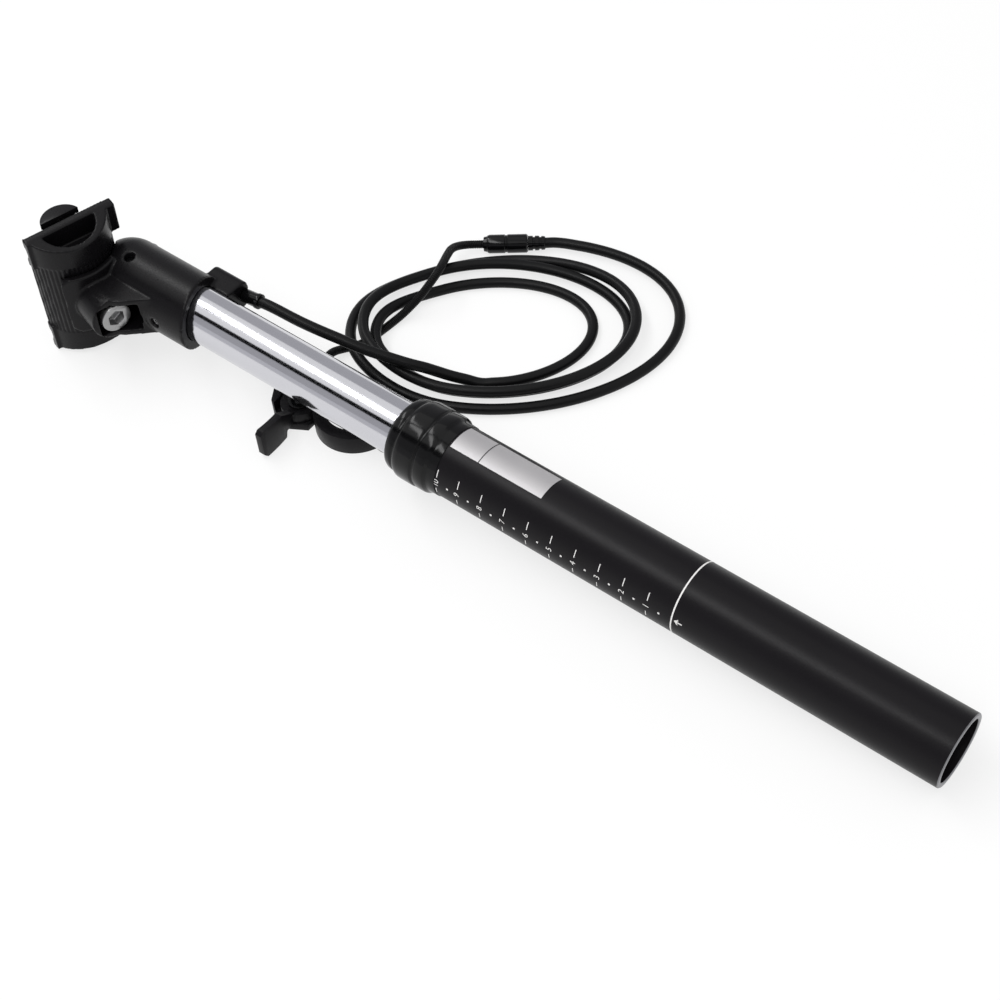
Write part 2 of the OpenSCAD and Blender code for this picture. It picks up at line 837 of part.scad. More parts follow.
// split ring that clamps the remote on the bar
module bar_ring()
    color(satin_black)
        on_floor()
            difference() {
                union() {
                    cylinder(r = ring_r, h = remote_h);
                    translate([-ring_r - 5, -5, 0])
                        cube([10, 10, remote_h]);
                }
                translate([0, 0, -1])
                    cylinder(r = bar_d / 2, h = remote_h + 2);
                translate([-ring_r - 9, -0.6, -1])
                    cube([ring_r, 1.2, remote_h + 2]);
                translate([-ring_r - 2.2, -10, remote_h / 2])
                    rotate([-90, 0, 0])
                        cylinder(r = 1.55, h = 20);
                remote_outline(0.02);
            }

// plan of the remote body, grown by a fit
module remote_outline(grow)
    translate([0, 0, -1])
        linear_extrude(remote_h + 2)
            polygon([
                [ring_r - 3.4 - grow, -11 - grow], [barrel_x - 5, -13 - grow],
                [barrel_x + 5, -9 - grow], [barrel_x + 5 + grow, lever_y - 2],
                [lever_x + 9, lever_y + 6 + grow], [lever_x, lever_y + 9 + grow],
                [ring_r - 3.4 - grow, lever_y + 5 + grow]
            ]);

// body that carries the lever and the barrel
module remote_body()
    color(satin_black)
        on_floor()
            difference() {
                intersection() {
                    remote_outline(0);
                    translate([0, -30, 0])
                        cube([60, 60, remote_h]);
                }
                translate([lever_x, lever_y, hub_low - gap]) {
                    cylinder(r = hub_r + 2 * gap, h = 20);
                    translate([-hub_r - 6, 0, 0])
                        cube([2 * hub_r + 6, 20, 20]);
                }
                translate([lever_x, lever_y, -1])
                    cylinder(r = 2.02, h = 20);
                translate([barrel_x, -4, barrel_z])
                    rotate([90, 0, 0])
                        cylinder(r = barrel_r - 0.68, h = 20);
            }

// pinch screw of the ring
module ring_screw()
    color(steel)
        on_floor()
            translate([-ring_r - 2.2, 0, remote_h / 2])
                rotate([-90, 0, 0])
                    difference() {
                        union() {
                            translate([0, 0, -7])
                                cylinder(r = 1.5, h = 12);
                            translate([0, 0, 5.02])
                                cylinder(r = 2.6, h = 2.4);
                            cylinder(r = 1.5, h = 5.1);
                        }
                        translate([0, 0, 6])
                            hex(2.5, 4);
                    }

// bush in the lever's hub
module lever_bush()
    color(brass)
        on_floor()
            translate([lever_x, lever_y, 0])
                tube(bush_r, 2.05, hub_low - gap, hub_high + 0.1);

// screw that the lever turns on
module pivot_screw()
    color(steel)
        on_floor()
            translate([lever_x, lever_y, 0])
                difference() {
                    union() {
                        translate([0, 0, 0.4])
                            cylinder(r = 2, h = hub_high);
                        translate([0, 0, hub_high + 0.1])
                            cylinder(r = 4.4, h = 0.8);
                    }
                    translate([0, 0, hub_high - 1])
                        hex(2.5, 4);
                }

// thumb lever: round hub and an upright curved blade
module thumb_lever()
    color(satin_black)
        on_floor()
            translate([lever_x, lever_y, 0])
                difference() {
                    union() {
                        translate([0, 0, hub_low])
                            cylinder(r = hub_r, h = hub_high - hub_low);
                        intersection() {
                            translate([62, 21, 0])
                                difference() {
                                    cylinder(r = 66, h = 40, $fn = 180);
                                    translate([0, 0, -1])
                                        cylinder(r = 63, h = 42, $fn = 180);
                                }
                            translate([-20, 0, 0])
                                rotate([90, 0, 90])
                                    linear_extrude(40)
                                        polygon([
                                            [-3, hub_low], [11.5, hub_low], [12.5, 0.6],
                                            [blade_len - 1.5, 0.6], [blade_len, 2.4],
                                            [blade_len, 12.4], [blade_len - 1.5, 13.8],
                                            [13, 13], [9, 10], [5.6, hub_high], [-3, hub_high]
                                        ]);
                        }
                    }
                    translate([0, 0, -1])
                        cylinder(r = bush_r + run_fit, h = 20);
                }

// barrel that takes the end of the ribbed housing
module barrel_adjuster()
    color(gloss_black)
        on_floor()
            translate([barrel_x, 0, barrel_z])
                rotate([90, 0, 0]) {
                    translate([0, 0, 4.2])
                        cylinder(r = barrel_r - 0.7, h = 9);
                    translate([0, 0, 12.5])
                        cylinder(r = barrel_r, h = -barrel_end - 12.5);
                }

// smooth cable from the head to the coil
module cable_run()
    color(rubber)
        sweep(run_path, 8, [for (p = run_path) cable_d / 2]);

// the coil of smooth cable, three and a half turns lying flat
module cable_coil()
    color(rubber)
        sweep(coil_path, 6, [for (p = coil_path) cable_d / 2]);

// a round piece on the cord at a point, along the coil's last direction
module on_cord(from)
    translate(from)
        rotate([0, 0, atan2(coil_end_dir[1], coil_end_dir[0])])
            rotate([0, 90, 0])
                children();

// stepped nose of the inline adjuster
module inline_nose()
    color(gloss_black)
        on_cord(nose_from)
            cylinder(r = nose_r, h = nose_len);

// sleeve of the inline adjuster
module inline_sleeve()
    color(gloss_black)
        on_cord(sleeve_from)
            cylinder(r = sleeve_r, h = sleeve_len);

// ribbed cable over the coil to the remote
module cable_tail()
    color(rubber)
        sweep(tail_path, 8, [for (p = tail_path) tail_d / 2]);

outer_tube();
collar();
wiper_seal();
upper_bush();
bottom_plug();
plug_circlip();
piston_rod();
rod_nut();
piston();
piston_seal();
stanchion();
lower_glide();
guide_keys();
cartridge_gland();
cartridge_body();
valve_head();
valve_pin();
head();
head_grub_screw();
actuator_pin();
actuator_lever();
inner_wire();
cable_ferrule();
lower_clamp();
upper_clamp();
clamp_bolt();
bolt_washer();
clamp_nut();
bar_ring();
remote_body();
ring_screw();
lever_bush();
pivot_screw();
thumb_lever();
barrel_adjuster();
cable_run();
cable_coil();
inline_nose();
inline_sleeve();
cable_tail();
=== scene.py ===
# A cable-operated dropper seatpost lying on its side with its cable coil and bar remote.
# Pieces of the post are modelled upright, z along the post from the lower end of the outer tube,
# and are then laid down as the frame lies. Lengths named _mm are millimetres, all others are metres.
import json
import math

import bpy
from mathutils import Matrix, Vector


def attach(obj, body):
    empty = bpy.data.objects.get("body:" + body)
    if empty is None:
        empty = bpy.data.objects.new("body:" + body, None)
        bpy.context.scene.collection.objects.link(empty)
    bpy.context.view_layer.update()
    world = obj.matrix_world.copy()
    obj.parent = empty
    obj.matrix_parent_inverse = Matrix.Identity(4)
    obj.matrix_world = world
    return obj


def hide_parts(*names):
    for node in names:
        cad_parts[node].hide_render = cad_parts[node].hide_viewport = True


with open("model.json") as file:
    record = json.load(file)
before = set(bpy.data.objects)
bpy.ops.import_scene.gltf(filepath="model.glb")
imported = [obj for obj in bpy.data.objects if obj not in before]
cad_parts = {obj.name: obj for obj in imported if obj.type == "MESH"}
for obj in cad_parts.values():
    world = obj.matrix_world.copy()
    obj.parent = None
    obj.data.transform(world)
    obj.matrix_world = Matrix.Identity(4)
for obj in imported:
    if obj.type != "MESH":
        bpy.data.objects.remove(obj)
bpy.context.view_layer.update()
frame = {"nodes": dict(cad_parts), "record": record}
MM = 0.001

# Outer tube: drawn aluminium, bead blasted and anodised satin black, cut square at its lower end.
# It is the piece that goes in the bike, so the whole post is laid out along its axis.
seat_mount = next(m for m in frame["record"]["mounts"] if m["name"] == "seat_tube")
post_up = -Vector(seat_mount["axis"]).normalized()
tube_r_mm = seat_mount["dims"]["r_mm"]
tube_len_mm = seat_mount["dims"]["length_mm"]
lower_end = Vector(seat_mount["pos_m"]) - post_up * tube_len_mm / 2 * MM
rear = Vector((0, 1, 0))
post = Matrix.Translation(lower_end) @ Matrix((rear.cross(post_up), rear, post_up)).transposed().to_4x4()


def pick(piece):
    """Make one object the only selected and active one."""
    bpy.ops.object.select_all(action="DESELECT")
    piece.select_set(True)
    bpy.context.view_layer.objects.active = piece
    return piece


def settle(piece, place):
    """Move a modelled piece to its place and leave its object at the origin."""
    pick(piece).matrix_world = place
    bpy.ops.object.transform_apply(location=True, rotation=True, scale=True)
    return piece


def shade(piece, sharp_deg=32):
    """Smooth faces, with edges over the angle left sharp."""
    pick(piece)
    bpy.ops.object.shade_smooth_by_angle(angle=math.radians(sharp_deg))
    return piece


def turned(name, profile_mm, steps=144):
    """A turned piece: a point is extruded along the closed profile of (radius, height), then spun about z."""
    bpy.ops.object.select_all(action="DESELECT")
    bpy.ops.mesh.primitive_plane_add(size=MM)
    piece = bpy.context.object
    piece.name = piece.data.name = name
    bpy.ops.object.mode_set(mode="EDIT")
    bpy.ops.mesh.merge(type="CENTER")
    at = Vector((profile_mm[0][0], 0, profile_mm[0][1])) * MM
    bpy.ops.transform.translate(value=at)
    for radius, height in list(profile_mm[1:]) + [profile_mm[0]]:
        step = Vector((radius, 0, height)) * MM - at
        bpy.ops.mesh.extrude_vertices_move(TRANSFORM_OT_translate={"value": step})
        at += step
    bpy.ops.mesh.select_all(action="SELECT")
    bpy.ops.mesh.spin(steps=steps, angle=2 * math.pi, center=(0, 0, 0), axis=(0, 0, 1))
    bpy.ops.mesh.select_all(action="SELECT")
    bpy.ops.mesh.remove_doubles(threshold=0.002 * MM)
    bpy.ops.mesh.normals_make_consistent(inside=False)
    bpy.ops.object.mode_set(mode="OBJECT")
    return piece


def linear(colour):
    """An sRGB hex colour as linear RGBA."""
    parts = [int(colour[i:i + 2], 16) / 255 for i in (1, 3, 5)]
    return [p / 12.92 if p <= 0.04045 else ((p + 0.055) / 1.055) ** 2.4 for p in parts] + [1.0]


def put(tree, kind, inputs=None, **settings):
    """Add one node: settings are its own, inputs are values or the sockets that feed it."""
    added = tree.nodes.new(kind)
    for name, value in settings.items():
        setattr(added, name, value)
    for name, value in (inputs or {}).items():
        if isinstance(value, bpy.types.NodeSocket):
            tree.links.new(value, added.inputs[name])
        else:
            added.inputs[name].default_value = value
    return added


def finish_of(name, colour, colour_to, grain_mm, bump_mm, roughness, **sockets):
    """A finish whose colour and roughness vary over a grain of that real size, with the grain as bump."""
    made = bpy.data.materials.new(name)
    made.use_nodes = True
    tree = made.node_tree
    tree.nodes.clear()
    place = put(tree, "ShaderNodeTexCoord").outputs["Object"]
    grain = put(tree, "ShaderNodeTexNoise",
                {"Vector": place, "Scale": 1 / (grain_mm * MM), "Detail": 3.0, "Roughness": 0.55})
    cloud = put(tree, "ShaderNodeTexNoise", {"Vector": place, "Scale": 1 / (30 * MM), "Detail": 2.0})
    blend = put(tree, "ShaderNodeMix", {"Factor": cloud.outputs["Fac"], "A": linear(colour),
                                        "B": linear(colour_to)}, data_type="RGBA")
    wear = put(tree, "ShaderNodeMapRange", {"Value": grain.outputs["Fac"], "From Min": 0.3, "From Max": 0.7,
                                            "To Min": roughness[0], "To Max": roughness[1]})
    bump = put(tree, "ShaderNodeBump", {"Height": grain.outputs["Fac"], "Distance": bump_mm * MM,
                                        "Strength": 1.0})
    shader = put(tree, "ShaderNodeBsdfPrincipled",
                 {"Base Color": blend.outputs["Result"], "Roughness": wear.outputs["Result"],
                  "Normal": bump.outputs["Normal"], **sockets})
    put(tree, "ShaderNodeOutputMaterial", {"Surface": shader.outputs["BSDF"]})
    return made


def wear_finish(piece, finish):
    """Give a piece its finish."""
    piece.data.materials.clear()
    piece.data.materials.append(finish)
    return piece


# Bead blasting leaves a fine grain, drawn at 0.5 mm because the real one is finer than a pixel.
satin_anodised = finish_of("satin_black_anodised_aluminium", "#0E0C0F", "#131114", 0.5, 0.005,
                           (0.30, 0.40), **{"Specular IOR Level": 0.14})
bore_r_mm = 11.6
spigot_r_mm = 13.4
spigot_top_mm = tube_len_mm + 14
outer_tube = turned("outer_tube_finished", [
    (bore_r_mm, 0.3), (bore_r_mm + 0.3, 0), (tube_r_mm - 0.35, 0), (tube_r_mm, 0.35),
    (tube_r_mm, tube_len_mm), (spigot_r_mm, tube_len_mm), (spigot_r_mm, spigot_top_mm),
    (bore_r_mm, spigot_top_mm)], steps=192)
# The cut at the lower end is bare metal on its face and chamfer.
bare_edge = finish_of("bare_cut_aluminium", "#77777A", "#8C8C90", 0.4, 0.004, (0.32, 0.45), Metallic=1.0)
wear_finish(outer_tube, satin_anodised)
outer_tube.data.materials.append(bare_edge)
for face in outer_tube.data.polygons:
    face.material_index = 1 if max(outer_tube.data.vertices[v].co.z for v in face.vertices) < 0.4 * MM else 0
shade(settle(outer_tube, post))
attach(outer_tube, "outer")
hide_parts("outer_tube")

# Insert scale: white ink pad-printed round the tube, a tick and a number every 10 mm above the
# insert line, a dot between them and an arrow below the line.
ink_lift_mm = 0.03
line_at_mm = 100.0
mark_step_mm = 10.0
# Pad-print ink dries to a thin matt film that is not quite white.
ink = finish_of("white_pad_print_ink", "#D9D7D6", "#E4E3E2", 0.4, 0.004, (0.45, 0.6),
                **{"Specular IOR Level": 0.3})


def wrapped(piece, azimuth_deg, height_mm, lift_mm, radius_mm):
    """Bend a flat drawing (x round the tube towards its top, y up the post) onto the tube."""
    for vertex in piece.data.vertices:
        azimuth = math.radians(azimuth_deg) - vertex.co.x / (radius_mm * MM)
        reach = (radius_mm + lift_mm) * MM + vertex.co.z
        vertex.co = (reach * math.sin(azimuth), reach * math.cos(azimuth), height_mm * MM + vertex.co.y)
    return piece


def flat_patch(name, wide_mm, tall_mm, cuts):
    """A flat rectangle cut across its width so that it can bend."""
    bpy.ops.object.select_all(action="DESELECT")
    bpy.ops.mesh.primitive_plane_add(size=1)
    patch = bpy.context.object
    patch.name = patch.data.name = name
    patch.scale = (wide_mm * MM, tall_mm * MM, 1)
    bpy.ops.object.transform_apply(location=False, rotation=False, scale=True)
    bpy.ops.object.mode_set(mode="EDIT")
    bpy.ops.mesh.select_all(action="SELECT")
    bpy.ops.mesh.subdivide(number_cuts=cuts)
    bpy.ops.object.mode_set(mode="OBJECT")
    return patch


def tick(from_deg, to_deg, height_mm, thick_mm):
    wide_mm = math.radians(abs(to_deg - from_deg)) * tube_r_mm
    patch = flat_patch("tick", wide_mm, thick_mm, max(3, int(wide_mm)))
    return wrapped(patch, (from_deg + to_deg) / 2, height_mm, ink_lift_mm, tube_r_mm)


def numeral(text, azimuth_deg, height_mm, tall_mm):
    bpy.ops.object.select_all(action="DESELECT")
    bpy.ops.object.text_add()
    letters = bpy.context.object
    letters.data.body = text
    letters.data.size = tall_mm * MM / 0.73
    letters.data.align_x = "CENTER"
    letters.data.align_y = "CENTER"
    letters.data.resolution_u = 4
    bpy.ops.object.convert(target="MESH")
    return wrapped(bpy.context.object, azimuth_deg, height_mm, ink_lift_mm, tube_r_mm)


marks = [tick(-180, 179.99, line_at_mm, 0.55)]
for number in range(1, 11):
    height_mm = line_at_mm + number * mark_step_mm - (0.8 if number == 10 else 0)
    marks.append(tick(-33, -19.5, height_mm, 0.32))
    marks.append(tick(2, 13, height_mm, 0.32))
    marks.append(numeral(str(number), -9, height_mm, 2.4))
    marks.append(tick(-10.6, -7.4, height_mm - mark_step_mm / 2, 0.75))
shaft = flat_patch("arrow_shaft", 0.5, 3.0, 2)
marks.append(wrapped(shaft, -12, line_at_mm - 2.7, ink_lift_mm, tube_r_mm))
for side in (-1, 1):
    barb = flat_patch("arrow_barb", 0.5, 1.7, 2)
    barb.matrix_world = (Matrix.Translation((side * 0.45 * MM, 0, 0))
                         @ Matrix.Rotation(side * math.radians(40), 4, "Z"))
    bpy.ops.object.transform_apply(location=True, rotation=True, scale=True)
    marks.append(wrapped(barb, -12, line_at_mm - 1.9, ink_lift_mm, tube_r_mm))
bpy.ops.object.select_all(action="DESELECT")
for mark in marks:
    mark.select_set(True)
bpy.context.view_layer.objects.active = marks[0]
bpy.ops.object.join()
scale_print = wear_finish(bpy.context.object, ink)
scale_print.name = scale_print.data.name = "scale_print"
settle(scale_print, post)
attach(scale_print, "outer")

# Label: a thin brushed foil sticker on the tube near the collar, left bare.
# A black line is printed across it.
foil_lift_mm = 0.05
label_from_mm, label_to_mm = 160.0, 199.4
label_azimuth_deg = -98.5
label_wide_mm = 12.6
# Foil under a clear film looks like dull silver and blurs what it reflects.
foil = finish_of("brushed_foil", "#A9A7A9", "#BDBBBC", 0.6, 0.003, (0.38, 0.5), Metallic=0.55)
label = flat_patch("label", label_wide_mm, label_to_mm - label_from_mm, 15)
wrapped(label, label_azimuth_deg, (label_from_mm + label_to_mm) / 2, foil_lift_mm, tube_r_mm)
wear_finish(settle(label, post), foil)
shade(label)
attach(label, "outer")
divider_at_mm = 187.0
black_ink = finish_of("black_print_ink", "#121212", "#181818", 0.4, 0.003, (0.5, 0.6))
divider = flat_patch("label_line", label_wide_mm, 0.4, 15)
wrapped(divider, label_azimuth_deg, divider_at_mm, foil_lift_mm + 0.03, tube_r_mm)
wear_finish(settle(divider, post), black_ink)
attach(divider, "outer")

# Seal collar: turned aluminium, polished before it was anodised black, screwed over the tube's top.
# Two grooves part it into three rings that taper to the mouth.
collar_top_mm = tube_len_mm + 23.6
collar = turned("collar_finished", [
    (11.0, 200.02), (13.9, 200.02), (14.0, 202.6), (14.15, 203.6), (15.0, 204.7), (15.2, 205.6), (15.25, 208.4),
    (15.1, 208.9), (14.75, 209.1), (14.75, 209.8), (15.1, 210.0), (15.4, 210.5), (15.45, 212), (15.45, 216),
    (15.35, 217.4), (14.9, 218.4), (14.1, 218.8), (13.95, 219.2), (14.05, 219.7), (14.3, 220.2), (14.2, 221.6),
    (13.7, 222.7), (12.6, 223.5), (12.42, 223.6), (12.42, 219.6), (11.0, 219.6)], steps=192)
# Polished before anodising, the black shows sharp small highlights.
gloss_anodised = finish_of("gloss_black_anodised_aluminium", "#070708", "#0B0B0C", 0.6, 0.001,
                           (0.12, 0.18), **{"Specular IOR Level": 0.22})
bevel = pick(collar).modifiers.new("turned_edges", "BEVEL")
bevel.width, bevel.segments, bevel.limit_method, bevel.angle_limit = 0.12 * MM, 2, "ANGLE", math.radians(22)
bpy.ops.object.modifier_apply(modifier="turned_edges")
wear_finish(shade(settle(collar, post), 50), gloss_anodised)
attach(collar, "outer")
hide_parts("collar")

# Wiper: a lip of moulded nitrile rubber, pressed into the collar's mouth.
# It runs on the inner tube and keeps dirt out.
run_r_mm = 10.55
wiper = turned("wiper_finished", [
    (run_r_mm, collar_top_mm - 3.9), (12.35, collar_top_mm - 3.9), (12.35, collar_top_mm - 0.2),
    (11.9, collar_top_mm + 0.25), (11.3, collar_top_mm + 0.55), (run_r_mm, collar_top_mm + 1.1)])
# Moulded rubber is a dull, even black.
rubber = finish_of("black_nitrile_rubber", "#0E0E0E", "#141414", 0.5, 0.01, (0.55, 0.7),
                   **{"Specular IOR Level": 0.3})
wear_finish(shade(settle(wiper, post), 40), rubber)
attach(wiper, "outer")
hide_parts("wiper_seal")

# Inner works of the outer tube: guide bush, plug, snap ring, cartridge rod with its nut, piston and seal.
# They are the solids themselves; the plug and the snap ring show in the open lower end.
# Acetal is a waxy grey, machined steel keeps a fine grain, and turned brass is bright and warm.
glide_polymer = finish_of("moulded_acetal", "#4A4C50", "#55575B", 0.8, 0.004, (0.4, 0.5))
bare_steel = finish_of("bare_machined_steel", "#8E8E8F", "#A9A9A9", 0.35, 0.006, (0.30, 0.46), Metallic=1.0)
turned_brass = finish_of("turned_brass", "#A98649", "#BF9A58", 0.6, 0.003, (0.25, 0.35), Metallic=1.0)
for node, finish, slot_name in (
        ("upper_bush", glide_polymer, "glide_polymer"), ("bottom_plug", satin_anodised, "forged_black"),
        ("plug_circlip", bare_steel, "steel"), ("piston_rod", bare_steel, "steel"),
        ("rod_nut", bare_steel, "steel"), ("piston", turned_brass, "brass"), ("piston_seal", rubber, "rubber")):
    wear_finish(frame["nodes"][node], finish)

# Inner tube: drawn aluminium, polished and clear anodised, which leaves a slightly soft mirror.
# It is pressed into the head and slides in the collar.
stanchion_r_mm = 10.5
stanchion_low_mm = 100.6
socket_top_mm = 341.95
stanchion = turned("stanchion_finished", [
    (8.8, stanchion_low_mm), (10.2, stanchion_low_mm), (stanchion_r_mm, stanchion_low_mm + 0.3),
    (stanchion_r_mm, socket_top_mm - 0.3), (10.2, socket_top_mm), (8.8, socket_top_mm)], steps=256)
# Polish leaves only a slow waviness, drawn at 4 mm, so the bands of light run along the tube.
polished_tube = finish_of("polished_aluminium", "#C9C9CE", "#D0D0D5", 4.0, 0.0002, (0.10, 0.13), Metallic=1.0)
wear_finish(shade(settle(stanchion, post)), polished_tube)
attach(stanchion, "upper")
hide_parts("stanchion")

# Inner works that ride in the inner tube: glide sleeve, keys, cartridge, valve and its pin.
# They are the solids themselves, and nothing of them shows from outside.
for node, finish, slot_name in (
        ("lower_glide", glide_polymer, "glide_polymer"), ("guide_keys", turned_brass, "brass"),
        ("cartridge_gland", turned_brass, "brass"), ("cartridge_body", bare_steel, "steel"),
        ("valve_head", satin_anodised, "forged_black"), ("valve_pin", bare_steel, "steel")):
    wear_finish(frame["nodes"][node], finish)

# Head: forged aluminium, shot blasted and anodised satin black, its edges rounded by the die.
# The solid's copy is remeshed and relaxed so that webs, boss and cradle flow into each other.
# Shot blasting leaves a soft sheen with a grain a little coarser than the tube's.
forged_black = finish_of("satin_black_forged_aluminium", "#0B0A0C", "#100F11", 0.7, 0.012,
                         (0.26, 0.36), **{"Specular IOR Level": 0.15})


def merged_copy(node, name):
    """A copy of a solid with its loose triangles joined."""
    piece = bpy.data.objects.new(name, frame["nodes"][node].data.copy())
    bpy.context.scene.collection.objects.link(piece)
    pick(piece)
    bpy.ops.object.mode_set(mode="EDIT")
    bpy.ops.mesh.select_all(action="SELECT")
    bpy.ops.mesh.remove_doubles(threshold=0.002 * MM)
    bpy.ops.object.mode_set(mode="OBJECT")
    return piece


def forged(node, name, voxel_mm, relax):
    """A solid's copy remeshed and relaxed, so that its edges are as round as a forging's."""
    piece = merged_copy(node, name)
    cast = piece.modifiers.new("skin", "REMESH")
    cast.mode, cast.voxel_size = "VOXEL", voxel_mm * MM
    bpy.ops.object.modifier_apply(modifier="skin")
    flow = piece.modifiers.new("flow", "SMOOTH")
    flow.factor, flow.iterations = 0.5, relax
    bpy.ops.object.modifier_apply(modifier="flow")
    pick(piece)
    bpy.ops.object.shade_smooth()
    return piece


head = wear_finish(forged("head", "head_finished", 0.45, 6), forged_black)
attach(head, "upper")
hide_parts("head")


def edged(node, name, edge_mm, sharp_deg=30):
    """A solid's copy with its faces made whole and its edges rounded."""
    piece = merged_copy(node, name)
    bpy.ops.object.mode_set(mode="EDIT")
    bpy.ops.mesh.dissolve_limited(angle_limit=math.radians(0.5))
    bpy.ops.object.mode_set(mode="OBJECT")
    rounding = piece.modifiers.new("edges", "BEVEL")
    rounding.width, rounding.segments = edge_mm * MM, 2
    rounding.limit_method, rounding.angle_limit = "ANGLE", math.radians(sharp_deg)
    bpy.ops.object.modifier_apply(modifier="edges")
    return shade(piece, sharp_deg)


# Small parts of the head: grub screw, lever pin, actuator lever, wire and the cable's ferrule.
# The screw, the lever and the wire are bare steel, the pin and the ferrule are black.
for node, body, finish, slot_name, edge_mm in (
        ("head_grub_screw", "upper", bare_steel, "steel", 0.1),
        ("actuator_pin", "upper", gloss_anodised, "steel", 0.15),
        ("actuator_lever", "actuator", bare_steel, "steel", 0.15),
        ("inner_wire", "wire", bare_steel, "steel", 0.05),
        ("cable_ferrule", "upper", gloss_anodised, "gloss_black", 0.15)):
    small = wear_finish(edged(node, node + "_finished", edge_mm), finish)
    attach(small, body)
    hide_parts(node)

# Saddle clamp: a ribbed half-round rocker below and an arched cover above, both forged and anodised,
# held together by one cap screw with a curved washer and a nut.
rocker = wear_finish(forged("lower_clamp", "lower_clamp_finished", 0.38, 2), forged_black)
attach(rocker, "clamp")
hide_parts("lower_clamp")
for node, finish, slot_name, edge_mm in (
        ("upper_clamp", forged_black, "forged_black", 0.3),
        ("clamp_bolt", bare_steel, "steel", 0.35), ("bolt_washer", bare_steel, "steel", 0.1),
        ("clamp_nut", bare_steel, "steel", 0.2)):
    clamp_piece = wear_finish(edged(node, node + "_finished", edge_mm), finish)
    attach(clamp_piece, "clamp")
    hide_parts(node)

# Bar remote: a split ring and a body of moulded glass-filled nylon, a thumb lever on a brass bush,
# a bare pinch screw, a blackened pivot screw and an anodised barrel for the housing.
# Glass fibres at the skin make the moulding dull with a fine grain.
moulded_nylon = finish_of("moulded_glass_filled_nylon", "#0E0D0F", "#131214", 0.6, 0.015,
                          (0.34, 0.46), **{"Specular IOR Level": 0.15})
for node, body, finish, slot_name, edge_mm in (
        ("bar_ring", "upper", moulded_nylon, "forged_black", 0.4),
        ("remote_body", "upper", moulded_nylon, "forged_black", 0.4),
        ("ring_screw", "upper", bare_steel, "steel", 0.15),
        ("lever_bush", "upper", turned_brass, "brass", 0.1),
        ("pivot_screw", "upper", gloss_anodised, "steel", 0.15),
        ("thumb_lever", "lever", moulded_nylon, "forged_black", 0.4),
        ("barrel_adjuster", "upper", gloss_anodised, "gloss_black", 0.2)):
    remote_piece = wear_finish(edged(node, node + "_finished", edge_mm), finish)
    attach(remote_piece, body)
    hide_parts(node)

# Cable: smooth black housing, 4.3 mm, from the ferrule on the head down to the floor and three and a half turns
# to the inline adjuster. The third turn lies on the others, and the near end arches over the tail.
# It is a curve through the frame's route.
cable_d_mm = 4.3
tail_d_mm = 3.4
mid_x_mm, mid_y_mm = 196.181, 2.6
stop_y_mm, stop_low_mm, stop_tilt = -16.9, 318.0, math.radians(6.5)
ferrule_len_mm = 8.0
coil_mid_mm = Vector((240.1 - mid_x_mm, -74.0 - mid_y_mm, cable_d_mm / 2))
coil_turn, coil_phase = math.radians(36.8), math.radians(70)
coil_from, coil_to, coil_mid_turn = 0.06, 3.513, 1.75
long_mm, long_step_mm, long_swell_mm = 48.75, 1.82, 12.35
short_mm, short_step_mm, short_swell_mm = 27.75, 4.22, 2.45
slide_mm = Vector((0.1, -0.3, 0))
drift_mm = Vector((-0.45, -2.25, 0))
end_rise_turns, end_rise_ramp = 0.3, 0.28
coil_points_a_turn = 48
lift_mm, lift_from, lift_to, lift_ramp = cable_d_mm + 0.55, 1.33, 2.33, 0.3
arch_mm, arch_from, arch_to, arch_ramp = tail_d_mm + 0.9, 0.64, 0.86, 0.14
adjuster_turn = math.radians(11)
sleeve_r_mm = 3.8
# Extruded vinyl is smooth, with one soft line of light along it.
housing = finish_of("black_cable_housing_pvc", "#0A0A0B", "#0F0F10", 0.6, 0.004, (0.32, 0.42),
                    **{"Specular IOR Level": 0.14})


def ease(t):
    t = min(max(t, 0.0), 1.0)
    return t * t * (3 - 2 * t)


def raised(t, rise_at, fall_at, ramp):
    """One between the two places and nothing outside them, with soft ramps."""
    return ease((t - rise_at) / ramp) - ease((t - fall_at) / ramp)


def coil_at(turn):
    """The coil's centre line in millimetres: an oval that grows and drifts with each turn."""
    past = turn - coil_mid_turn
    swell = (past / 1.5) ** 3
    angle = 2 * math.pi * turn + coil_phase
    along = (long_mm + long_step_mm * turn + long_swell_mm * swell) * math.cos(angle)
    across = (short_mm + short_step_mm * turn + short_swell_mm * swell) * math.sin(angle)
    rise = lift_mm * raised(turn, lift_from, lift_to, lift_ramp)
    if turn < 3:
        rise += arch_mm * raised(turn - math.floor(turn), arch_from, arch_to, arch_ramp)
    rise += (sleeve_r_mm - cable_d_mm / 2) * ease((turn - coil_to + end_rise_turns) / end_rise_ramp)
    drift = slide_mm * past + drift_mm * swell + Vector((0, 0, rise))
    return coil_mid_mm + drift + Matrix.Rotation(coil_turn, 3, "Z") @ Vector((along, across, 0))


def stop_point(along_mm):
    """A point on the axis of the head's cable stop, in millimetres."""
    at = Vector((0, stop_y_mm + along_mm * math.sin(stop_tilt), stop_low_mm + along_mm * math.cos(stop_tilt)))
    return post @ (at * MM) / MM


def cable_curve(name, route_mm, thick_mm):
    """A round cable as one smooth open spline through the route."""
    line = bpy.data.curves.new(name, "CURVE")
    line.dimensions = "3D"
    line.bevel_depth = thick_mm / 2 * MM
    line.bevel_resolution = 7
    line.resolution_u = 6
    line.use_fill_caps = thick_mm > 0
    spline = line.splines.new("BEZIER")
    spline.bezier_points.add(len(route_mm) - 1)
    for knot, at in zip(spline.bezier_points, route_mm):
        knot.co = at * MM
        knot.handle_left_type = knot.handle_right_type = "AUTO"
    made = bpy.data.objects.new(name, line)
    bpy.context.scene.collection.objects.link(made)
    return made


